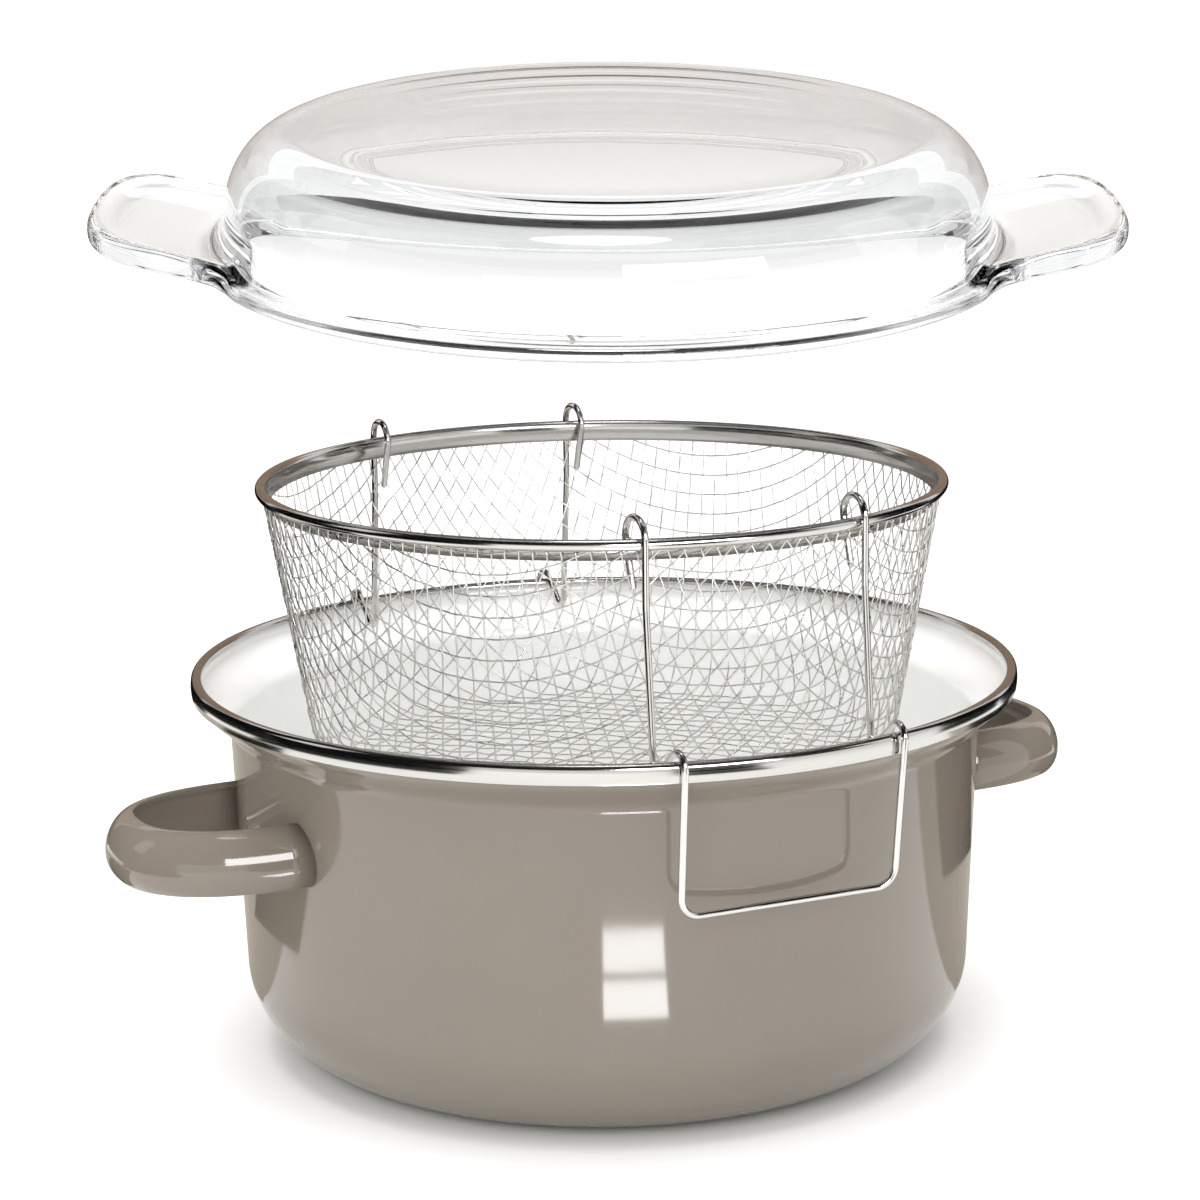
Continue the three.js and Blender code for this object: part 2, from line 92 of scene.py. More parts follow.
def rounded(corners: Sequence[Corner], steps: int, closed: bool = False) -> list[Vector]:
    """Lay points along straight runs with rounded corners.

    Args:
        corners: the corners in order.
        steps: segments in each rounded corner.
        closed: whether the last corner leads back to the first.
    Returns:
        The points of the line.
    """
    points: list[Vector] = []
    count = len(corners)
    for i, corner in enumerate(corners):
        end_of_line = not closed and i in (0, count - 1)
        if corner.bend <= 0 or end_of_line:
            points.append(corner.at.copy())
            continue
        to_before = (corners[i - 1].at - corner.at).normalized()
        to_after = (corners[(i + 1) % count].at - corner.at).normalized()
        half = to_before.angle(to_after) / 2
        middle = corner.at + (to_before + to_after).normalized() * (corner.bend / math.sin(half))
        start = corner.at + to_before * (corner.bend / math.tan(half)) - middle
        end = corner.at + to_after * (corner.bend / math.tan(half)) - middle
        turn = start.angle(end)
        for k in range(steps + 1):
            share = k / steps
            points.append(
                middle
                + start * (math.sin((1 - share) * turn) / math.sin(turn))
                + end * (math.sin(share * turn) / math.sin(turn))
            )
    return points


def rounded_profile(
    corners: Sequence[tuple[float, float, float]], steps: int = 6, closed: bool = False
) -> Profile:
    """Round the corners of a (radius, height, bend) profile.

    Args:
        corners: radius, height and bend of each corner.
        steps: segments in each rounded corner.
        closed: whether the profile closes on itself.
    Returns:
        The (radius, height) points.
    """
    line = rounded([Corner(Vector((r, z, 0)), bend) for r, z, bend in corners], steps, closed)
    return [(p.x, p.y) for p in line]


def arc(
    radius: float, height: float, width: float, rise: float, start: float, end: float, steps: int
) -> Profile:
    """Points of an elliptical arc.

    Args:
        radius: radius of its middle.
        height: height of its middle.
        width: half width of the ellipse.
        rise: half height of the ellipse.
        start: first angle in degrees.
        end: last angle in degrees.
        steps: segments of the arc.
    Returns:
        The (radius, height) points.
    """
    angles = [math.radians(start + (end - start) * i / steps) for i in range(steps + 1)]
    return [(radius + width * math.cos(a), height + rise * math.sin(a)) for a in angles]


def bezier(start: Point, leave: Point, arrive: Point, end: Point, steps: int) -> Profile:
    """Points of a cubic curve.

    Args:
        start: first point.
        leave: control point after it.
        arrive: control point before the last.
        end: last point.
        steps: segments of the curve.
    Returns:
        The points.
    """
    corners = (start, leave, arrive, end)
    line: Profile = []
    for i in range(steps + 1):
        t = i / steps
        weights = ((1 - t) ** 3, 3 * t * (1 - t) ** 2, 3 * t * t * (1 - t), t**3)
        x = sum(w * c[0] for w, c in zip(weights, corners))
        y = sum(w * c[1] for w, c in zip(weights, corners))
        line.append((x, y))
    return line


def offset(profile: Profile, distance: float) -> Profile:
    """Move a profile sideways to its left.

    Args:
        profile: the (radius, height) points.
        distance: how far to move it.
    Returns:
        The moved points.
    """
    moved: Profile = []
    for i, (radius, height) in enumerate(profile):
        before = Vector(profile[max(i - 1, 0)])
        after = Vector(profile[min(i + 1, len(profile) - 1)])
        along = (after - before).normalized()
        moved.append((max(radius - along.y * distance, 0.0), height + along.x * distance))
    return moved


def polar(radius: float, angle: float, height: float) -> Vector:
    """Place a point by its angle round the upright axis.

    Args:
        radius: distance from the axis.
        angle: angle in radians.
        height: height of the point.
    Returns:
        The point.
    """
    return Vector((radius * math.cos(angle), radius * math.sin(angle), height))


def smooth_step(low: float, high: float, value: float) -> float:
    """Ease from 0 at low to 1 at high.

    Args:
        low: where the step starts.
        high: where it ends.
        value: the value to ease.
    Returns:
        A share from 0 to 1.
    """
    share = min(max((value - low) / (high - low), 0.0), 1.0)
    return share * share * (3 - 2 * share)


@dataclass
class Shape:
    """Corners in millimetres and faces of a piece being made."""

    points: list[Vector] = field(default_factory=list)
    faces: Faces = field(default_factory=list)
    finishes: list[int] = field(default_factory=list)

    def ring(self, points: Sequence[Vector]) -> list[int]:
        """Add a row of corners.

        Args:
            points: the corners.
        Returns:
            Their indices.
        """
        first = len(self.points)
        self.points.extend(points)
        return list(range(first, len(self.points)))

    def face(self, corners: Sequence[int], finish: int = 0) -> None:
        """Add one face by its corner indices, with the index of its finish."""
        self.faces.append(tuple(corners))
        self.finishes.append(finish)

    def bridge(self, low: Sequence[int], high: Sequence[int], finish: int = 0, closed: bool = True) -> None:
        """Join two rows of equal length, or fan a row onto a single point.

        Args:
            low: the first row.
            high: the next row.
            finish: index of the finish on the faces.
            closed: whether the rows run round.
        """
        count = max(len(low), len(high))
        for i in range(count if closed else count - 1):
            j = (i + 1) % count
            if len(low) == 1:
                self.face((low[0], high[j], high[i]), finish)
            elif len(high) == 1:
                self.face((low[i], low[j], high[0]), finish)
            else:
                self.face((low[i], low[j], high[j], high[i]), finish)

    def piece(
        self, name: str, materials: Sequence[bpy.types.Material], place: Matrix | None = None
    ) -> bpy.types.Object:
        """Turn the shape into a smooth object.

        Args:
            name: the object's name.
            materials: its finishes in order.
            place: where it goes, in millimetres.
        Returns:
            The new object.
        """
        move = place or Matrix.Identity(4)
        mesh = bpy.data.meshes.new(name)
        mesh.from_pydata([(move @ p) * MM for p in self.points], [], self.faces)
        for material in materials:
            mesh.materials.append(material)
        mesh.polygons.foreach_set("material_index", self.finishes)
        mesh.polygons.foreach_set("use_smooth", [True] * len(mesh.polygons))
        mesh.update()
        mesh.validate()
        obj = bpy.data.objects.new(name, mesh)
        bpy.context.scene.collection.objects.link(obj)
        return obj


def revolved(
    profile: Profile, sides: int, closed: bool = False, finish_of: Callable[[int], int] = lambda i: 0
) -> Shape:
    """Turn a profile round the upright axis.

    Args:
        profile: (radius, height) points, from the bottom outwards and up.
        sides: steps round the axis.
        closed: whether the profile closes on itself.
        finish_of: the finish index of each step of the profile.
    Returns:
        The shape.
    """
    shape = Shape()
    turns = [2 * math.pi * k / sides for k in range(sides)]
    rows: list[list[int]] = []
    for radius, height in profile:
        if radius < ON_AXIS:
            rows.append(shape.ring([Vector((0, 0, height))]))
        else:
            rows.append(shape.ring([polar(radius, a, height) for a in turns]))
    steps = len(rows) if closed else len(rows) - 1
    for i in range(steps):
        shape.bridge(rows[i], rows[(i + 1) % len(rows)], finish_of(i))
    return shape


def tube(shape: Shape, path: Sequence[Vector], radius: float, sides: int, cap_rows: int = 3) -> None:
    """Sweep a round wire along a path, with rounded ends.

    Args:
        shape: the shape that takes the wire.
        path: points of its middle.
        radius: radius of the wire.
        sides: faces round the wire.
        cap_rows: rows of corners on each rounded end, or 0 for a flat end.
    """
    count = len(path)
    tangents = [(path[min(i + 1, count - 1)] - path[max(i - 1, 0)]).normalized() for i in range(count)]
    across = tangents[0].orthogonal().normalized()
    caps = [math.pi / 2 * k / (cap_rows + 1) for k in range(cap_rows, 0, -1)]
    rows: list[list[int]] = []

    def row(middle: Vector, tangent: Vector, size: float) -> list[int]:
        """Add one ring of the wire.

        Args:
            middle: its middle.
            tangent: the way the wire runs.
            size: its radius.
        Returns:
            Its corner indices.
        """
        beside = tangent.cross(across)
        turns = [2 * math.pi * k / sides for k in range(sides)]
        return shape.ring([middle + (across * math.cos(a) + beside * math.sin(a)) * size for a in turns])

    for i, (middle, tangent) in enumerate(zip(path, tangents)):
        across = (across - tangent * across.dot(tangent)).normalized()
        if i == 0:
            rows.extend(
                row(middle - tangent * radius * math.sin(a), tangent, radius * math.cos(a))
                for a in caps
            )
        rows.append(row(middle, tangent, radius))
        if i == count - 1:
            rows.extend(
                row(middle + tangent * radius * math.sin(a), tangent, radius * math.cos(a))
                for a in reversed(caps)
            )
    for low, high in zip(rows, rows[1:]):
        shape.bridge(low, high)
    shape.face(list(reversed(rows[0])))
    shape.face(rows[-1])


# Finishes


def linear(hex_colour: str) -> tuple[float, float, float, float]:
    """Give the linear colour of an sRGB hex code.

    Args:
        hex_colour: six hex digits, with or without a leading mark.
    Returns:
        Linear red, green, blue and full alpha.
    """
    digits = hex_colour.lstrip("#")
    values = [int(digits[i:i + 2], 16) / 255 for i in (0, 2, 4)]
    line = [v / 12.92 if v <= 0.04045 else ((v + 0.055) / 1.055) ** 2.4 for v in values]
    return (line[0], line[1], line[2], 1.0)


def per_metre(size_mm: float) -> float:
    """Turn the size of a pattern into its scale.

    Args:
        size_mm: size of one grain, line or patch in millimetres.
    Returns:
        How many of them a metre holds.
    """
    return 1000 / size_mm


def add_node(
    tree: bpy.types.NodeTree, kind: str, values: dict[str | int, object] | None = None, **settings: object
) -> bpy.types.Node:
    """Add a shader node, set its values and link its inputs.

    Args:
        tree: the node tree.
        kind: the node's type name.
        values: input name or number to a value, or to an output socket that feeds it.
        settings: properties of the node.
    Returns:
        The new node.
    """
    node = tree.nodes.new(kind)
    for key, value in settings.items():
        setattr(node, key, value)
    for key, value in (values or {}).items():
        if isinstance(value, bpy.types.NodeSocket):
            tree.links.new(value, node.inputs[key])
        else:
            node.inputs[key].default_value = value
    return node


@dataclass(frozen=True)
class Finish:
    """A finish made from its real material."""

    name: str

    def shader(self, tree: bpy.types.NodeTree) -> bpy.types.Node:
        """Build the surface shader in a material's node tree and give its node."""
        raise NotImplementedError

    def material(self) -> bpy.types.Material:
        """Make the material.

        Returns:
            The new material.
        """
        made = bpy.data.materials.new(self.name)
        made.use_nodes = True
        tree = made.node_tree
        tree.nodes.clear()
        add_node(tree, "ShaderNodeOutputMaterial", {"Surface": self.shader(tree).outputs[0]})
        return made


@dataclass(frozen=True)
class Enamel(Finish):
    """Vitreous enamel fired on steel: a glassy coat with a slow ripple and a faint cloud in its colour."""

    colour: str
    cloud: str
    gloss: float = 0.07
    glossiest: float = 0.7
    dullest: float = 1.5
    ior: float = 1.54
    cloud_mm: float = 34.0
    ripple_mm: float = 9.0
    ripple_depth_mm: float = 0.012

    def shader(self, tree: bpy.types.NodeTree) -> bpy.types.Node:
        """Build the surface shader.

        Args:
            tree: the material's node tree.
        Returns:
            The shader node.
        """
        place = add_node(tree, "ShaderNodeTexCoord").outputs["Object"]
        cloud = add_node(
            tree, "ShaderNodeTexNoise",
            {"Vector": place, "Scale": per_metre(self.cloud_mm), "Detail": 3.0},
        )
        colour = add_node(
            tree, "ShaderNodeMix",
            {"Factor": cloud.outputs["Fac"], "A": linear(self.colour), "B": linear(self.cloud)},
            data_type="RGBA",
        )
        polish = add_node(
            tree, "ShaderNodeMapRange",
            {
                "Value": cloud.outputs["Fac"],
                "To Min": self.gloss * self.glossiest, "To Max": self.gloss * self.dullest,
            },
        )
        ripple = add_node(
            tree, "ShaderNodeTexNoise",
            {"Vector": place, "Scale": per_metre(self.ripple_mm), "Detail": 1.0},
        )
        bump = add_node(
            tree, "ShaderNodeBump",
            {"Height": ripple.outputs["Fac"], "Distance": self.ripple_depth_mm * MM, "Strength": 1.0},
        )
        return add_node(
            tree, "ShaderNodeBsdfPrincipled",
            {
                "Base Color": colour.outputs["Result"], "Roughness": polish.outputs["Result"],
                "IOR": self.ior, "Normal": bump.outputs["Normal"],
            },
        )


@dataclass(frozen=True)
class TurnedSteel(Finish):
    """Polished stainless strip: a mirror with fine buffing lines that run round the axis."""

    colour: str
    smooth: float = 0.1
    buffed: float = 0.2
    # Real buffing lines are too fine to show in the render, so they are drawn coarser.
    line_mm: float = 0.35
    line_depth_mm: float = 0.0015

    def shader(self, tree: bpy.types.NodeTree) -> bpy.types.Node:
        """Build the surface shader.

        Args:
            tree: the material's node tree.
        Returns:
            The shader node.
        """
        place = add_node(tree, "ShaderNodeTexCoord").outputs["Object"]
        parts = add_node(tree, "ShaderNodeSeparateXYZ", {"Vector": place})
        flat = add_node(tree, "ShaderNodeCombineXYZ", {"X": parts.outputs["X"], "Y": parts.outputs["Y"]})
        radius = add_node(tree, "ShaderNodeVectorMath", {0: flat.outputs["Vector"]}, operation="LENGTH")
        section = add_node(
            tree, "ShaderNodeCombineXYZ", {"X": radius.outputs["Value"], "Y": parts.outputs["Z"]}
        )
        lines = add_node(
            tree, "ShaderNodeTexNoise",
            {"Vector": section.outputs["Vector"], "Scale": per_metre(self.line_mm), "Detail": 2.0},
        )
        polish = add_node(
            tree, "ShaderNodeMapRange",
            {
                "Value": lines.outputs["Fac"], "From Min": 0.3, "From Max": 0.7,
                "To Min": self.smooth, "To Max": self.buffed,
            },
        )
        bump = add_node(
            tree, "ShaderNodeBump",
            {"Height": lines.outputs["Fac"], "Distance": self.line_depth_mm * MM, "Strength": 1.0},
        )
        return add_node(
            tree, "ShaderNodeBsdfPrincipled",
            {
                "Base Color": linear(self.colour), "Metallic": 1.0,
                "Roughness": polish.outputs["Result"], "Normal": bump.outputs["Normal"],
            },
        )


@dataclass(frozen=True)
class PlatedWire(Finish):
    """Bright plated steel wire: a mirror with duller patches."""

    colour: str
    dull_colour: str
    smooth: float = 0.06
    dull: float = 0.22
    patch_mm: float = 6.0

    def shader(self, tree: bpy.types.NodeTree) -> bpy.types.Node:
        """Build the surface shader.

        Args:
            tree: the material's node tree.
        Returns:
            The shader node.
        """
        place = add_node(tree, "ShaderNodeTexCoord").outputs["Object"]
        patch = add_node(
            tree, "ShaderNodeTexNoise",
            {"Vector": place, "Scale": per_metre(self.patch_mm), "Detail": 4.0},
        )
        colour = add_node(
            tree, "ShaderNodeMix",
            {"Factor": patch.outputs["Fac"], "A": linear(self.colour), "B": linear(self.dull_colour)},
            data_type="RGBA",
        )
        polish = add_node(
            tree, "ShaderNodeMapRange",
            {
                "Value": patch.outputs["Fac"], "From Min": 0.35, "From Max": 0.7,
                "To Min": self.smooth, "To Max": self.dull,
            },
        )
        return add_node(
            tree, "ShaderNodeBsdfPrincipled",
            {
                "Base Color": colour.outputs["Result"], "Metallic": 1.0,
                "Roughness": polish.outputs["Result"],
            },
        )


@dataclass(frozen=True)
class PressedGlass(Finish):
    """Clear pressed glass: full transmission with the faint swell that the mould leaves."""

    tint: str
    ior: float = 1.48
    swell_mm: float = 22.0
    swell_depth_mm: float = 0.012

    def shader(self, tree: bpy.types.NodeTree) -> bpy.types.Node:
        """Build the surface shader.

        Args:
            tree: the material's node tree.
        Returns:
            The shader node.
        """
        place = add_node(tree, "ShaderNodeTexCoord").outputs["Object"]
        swell = add_node(
            tree, "ShaderNodeTexNoise",
            {"Vector": place, "Scale": per_metre(self.swell_mm), "Detail": 1.0},
        )
        bump = add_node(
            tree, "ShaderNodeBump",
            {"Height": swell.outputs["Fac"], "Distance": self.swell_depth_mm * MM, "Strength": 1.0},
        )
        return add_node(
            tree, "ShaderNodeBsdfPrincipled",
            {
                "Base Color": linear(self.tint), "Transmission Weight": 1.0, "Roughness": 0.0,
                "IOR": self.ior, "Normal": bump.outputs["Normal"],
            },
        )


@dataclass(frozen=True)
class Ground(Finish):
    """Matt paint on the floor and the cards of the studio: a flat tone with no shine."""

    colour: str
    roughness: float = 0.9

    def shader(self, tree: bpy.types.NodeTree) -> bpy.types.Node:
        """Build the surface shader.

        Args:
            tree: the material's node tree.
        Returns:
            The shader node.
        """
        return add_node(
            tree, "ShaderNodeBsdfPrincipled",
            {"Base Color": linear(self.colour), "Roughness": self.roughness, "Specular IOR Level": 0.0},
        )


@dataclass(frozen=True)
class Glow(Finish):
    """Lit diffuser of a studio window."""

    strength: float

    def shader(self, tree: bpy.types.NodeTree) -> bpy.types.Node:
        """Build the glowing shader in a material's node tree and give its node."""
        return add_node(tree, "ShaderNodeEmission", {"Strength": self.strength})


class Palette:
    """The finishes of the object, made once."""

    def __init__(self) -> None:
        """Make every material."""
        # Enamel outside and on the handles: warm grey under a deep gloss.
        self.taupe = Enamel("taupe_enamel", "#797167", "#746c62").material()
        # Enamel inside: clean white, a little softer.
        self.white = Enamel("white_enamel", "#f1f1f0", "#ececea", gloss=0.1).material()
        # Stainless strip on the rims: a mirror that buffing blurs.
        self.steel = TurnedSteel("polished_steel", "#bfbdba").material()
        # Thick plated wire: bright, with sharp highlights.
        self.wire = PlatedWire("chromed_wire", "#d6d4d1", "#c2bfbb").material()
        # Thin woven wire: a broad pale sheen in place of sharp highlights.
        cloth = PlatedWire("woven_steel_wire", "#dcdad7", "#c4c2be", smooth=0.22, dull=0.45)
        self.cloth = cloth.material()
        # Pressed glass: clear, dark only where it bends the view towards dark things.
        self.glass = PressedGlass("clear_glass", "#f3f4f4").material()


# Pieces


@dataclass
class Pot:
    """Enamelled pan: pressed base panel, round corner, leaning wall, S-shaped flare and upright lip."""

    height: float = 120.6
    wall: float = 1.4
    mouth_radius: float = 118.0
    foot_taper: float = 3.0
    corner_radius: float = 30.0
    panel_radius: float = 62.0
    panel_slope: float = 4.0
    panel_rise: float = 1.0
    panel_bend: float = 5.0
    flare_height: float = 13.0
    flare_reach: float = 10.9
    lip_height: float = 3.6
    corner_steps: int = 20
    flare_steps: int = 16
    sides: int = 192

    @property
    def flare_bottom(self) -> float:
        """Height where the flare starts."""
        return self.height - self.lip_height - self.flare_height

    @property
    def lip_radius(self) -> float:
        """Outer radius of the lip."""
        return self.mouth_radius + self.flare_reach

    def wall_radius(self, height: float) -> float:
        """Give the outer radius of the wall at a height above the base corner."""
        share = (height - self.corner_radius) / (self.flare_bottom - self.corner_radius)
        return self.mouth_radius - self.foot_taper * (1 - share)

    def outside(self) -> Profile:
        """Lay out the outer line of the shell.

        Returns:
            The profile from the middle of the base to the lip.
        """
        bend = self.corner_radius
        foot = self.mouth_radius - self.foot_taper - bend
        base = rounded_profile(
            [
                (0, self.panel_rise, 0), (self.panel_radius, self.panel_rise, self.panel_bend),
                (self.panel_radius + self.panel_slope, 0, self.panel_bend), (foot, 0, 0),
            ]
        )
        corner = arc(foot, bend, bend, bend, -90, 0, self.corner_steps)
        flare: Profile = []
        for i in range(self.flare_steps + 1):
            share = i / self.flare_steps
            radius = self.mouth_radius + self.flare_reach * smooth_step(0, 1, share)
            flare.append((radius, self.flare_bottom + self.flare_height * share))
        return [*base[:-1], *corner, *flare, (self.lip_radius, self.height)]

    def build(self, palette: Palette) -> None:
        """Make the shell, taupe outside and white inside.

        Args:
            palette: the finishes.
        """
        outer = self.outside()
        inner = offset(outer, self.wall)
        inner[0] = (0.0, inner[0][1])
        lip = len(outer) - 1
        shape = revolved([*outer, *reversed(inner)], self.sides, finish_of=lambda i: int(i >= lip))
        shell = shape.piece("pot_shell_enamel", [palette.taupe, palette.white])
        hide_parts("pot_shell")
        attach(shell, Body.POT.value)


@dataclass
class RimRing:
    """Polished steel channel crimped over the pot's lip."""

    pot: Pot
    sheet: float = 0.8
    gap: float = 0.3
    height: float = 6.0
    hem: float = 1.8
    crown: float = 0.3
    belly_share: float = 0.42
    belly_bend: float = 9.0
    shoulder_bend: float = 1.7
    throat_bend: float = 1.4
    edge_share: float = 0.45
    crease: float = 0.1
    sides: int = 256

    @property
    def radius(self) -> float:
        """Outer radius of the ring."""
        return self.pot.lip_radius + self.gap + self.sheet

    @property
    def top(self) -> float:
        """Height of its top."""
        return self.pot.height + self.gap + self.sheet

    def build(self, palette: Palette) -> None:
        """Make the ring.

        Args:
            palette: the finishes.
        """
        inner = self.pot.lip_radius - self.pot.wall - self.gap - self.sheet
        bottom = self.top - self.height
        edge = self.sheet * self.edge_share
        profile = rounded_profile(
            [
                (self.radius - self.sheet - self.crown, bottom, edge),
                (self.radius - self.crown, bottom, edge),
                (self.radius, bottom + self.height * self.belly_share, self.belly_bend),
                (self.radius - self.crown, self.top, self.shoulder_bend),
                (inner, self.top, self.throat_bend),
                (inner, self.top - self.hem, edge),
                (inner + self.sheet, self.top - self.hem, edge),
                (inner + self.sheet, self.top - self.sheet, self.crease),
                (self.radius - self.sheet - self.crown, self.top - self.sheet, self.crease),
            ],
            closed=True,
        )
        ring = revolved(profile, self.sides, closed=True).piece("rim_ring_polished", [palette.steel])
        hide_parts("rim_ring")
        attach(ring, Body.POT.value)


@dataclass
class LoopHandle:
    """Shallow pressed channel, open on its inner side, leaning outwards and swept round a loop."""

    pot: Pot
    side: Side
    middle: float = 80.2
    height: float = 20.5
    depth: float = 7.2
    sheet: float = 1.8
    reach: float = 162.9
    half_width: float = 35.0
    squareness: float = 2.5
    lip_open: float = 20.0
    lean: float = 18.0
    weld_depth: float = 0.5
    arch_steps: int = 24
    lip_steps: int = 6
    steps: int = 56

    def section(self) -> Profile:
        """Lay out the channel's closed section.

        Returns:
            (upwards, outwards) points.
        """
        half = self.sheet / 2
        tall, deep = self.height / 2 - half, self.depth - half
        sweep = 180 - 2 * self.lip_open
        count = self.arch_steps + 1
        angles = [math.radians(self.lip_open - 90 + sweep * i / self.arch_steps) for i in range(count)]
        spine = [Vector((tall * math.sin(a), deep * math.cos(a))) for a in angles]
        normals = [Vector((math.sin(a) / tall, math.cos(a) / deep)).normalized() for a in angles]
        outer = [p + n * half for p, n in zip(spine, normals)]
        inner = [p - n * half for p, n in zip(spine, normals)]

        def lip(at: Vector, normal: Vector, ahead: Vector) -> list[Vector]:
            """Round one free edge of the sheet, from its outer face to its inner one."""
            turns = [math.pi * k / self.lip_steps for k in range(1, self.lip_steps)]
            return [at + (normal * math.cos(t) + ahead * math.sin(t)) * half for t in turns]

        top_ahead = (spine[-1] - spine[-2]).normalized()
        low_ahead = (spine[0] - spine[1]).normalized()
        loop = [
            *outer, *lip(spine[-1], normals[-1], top_ahead),
            *reversed(inner), *reversed(lip(spine[0], normals[0], low_ahead)),
        ]
        level, leaned = math.cos(math.radians(self.lean)), math.sin(math.radians(self.lean))
        return [(p.x * level + p.y * leaned, p.y * level - p.x * leaned) for p in loop]

    def build(self, palette: Palette) -> None:
        """Make the handle.

        Args:
            palette: the finishes.
        """
        turn = self.side.value
        tip = self.reach - self.depth
        half = self.half_width - self.depth
        root = math.sqrt(self.pot.mouth_radius**2 - half**2)
        power = 2 / self.squareness
        steps = self.steps
        path: list[Vector] = []
        for i in range(steps + 1):
            angle = math.pi * (i / steps - 0.5)
            out = root + (tip - root) * max(math.cos(angle), 0.0) ** power
            across = half * math.copysign(abs(math.sin(angle)) ** power, angle)
            path.append(Vector((out, across, self.middle)))
        shape = Shape()
        rows: list[list[int]] = []
        section = self.section()
        for i, at in enumerate(path):
            along = path[min(i + 1, steps)] - path[max(i - 1, 0)]
            if i in (0, steps):
                along = Vector((1 if i == 0 else -1, 0, 0))
            outwards = Vector((along.y, -along.x, 0)).normalized()
            row: list[Vector] = []
            for up, out in section:
                point = at + outwards * out + Vector((0, 0, up))
                if i in (0, steps):
                    seat = self.pot.wall_radius(point.z) - self.weld_depth
                    point.x = math.sqrt(seat**2 - point.y**2)
                row.append(Vector((turn * point.x, turn * point.y, point.z)))
            rows.append(shape.ring(row))
        for low, high in zip(rows, rows[1:]):
            shape.bridge(low, high)
        shape.face(list(reversed(rows[0])))
        shape.face(rows[-1])
        name = "right_handle" if self.side is Side.POSITIVE else "left_handle"
        handle = shape.piece(f"{name}_enamel", [palette.taupe])
        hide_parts(name)
        # The studio light fills the hollow of the handle.
        handle.visible_shadow = False
        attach(handle, Body.POT.value)


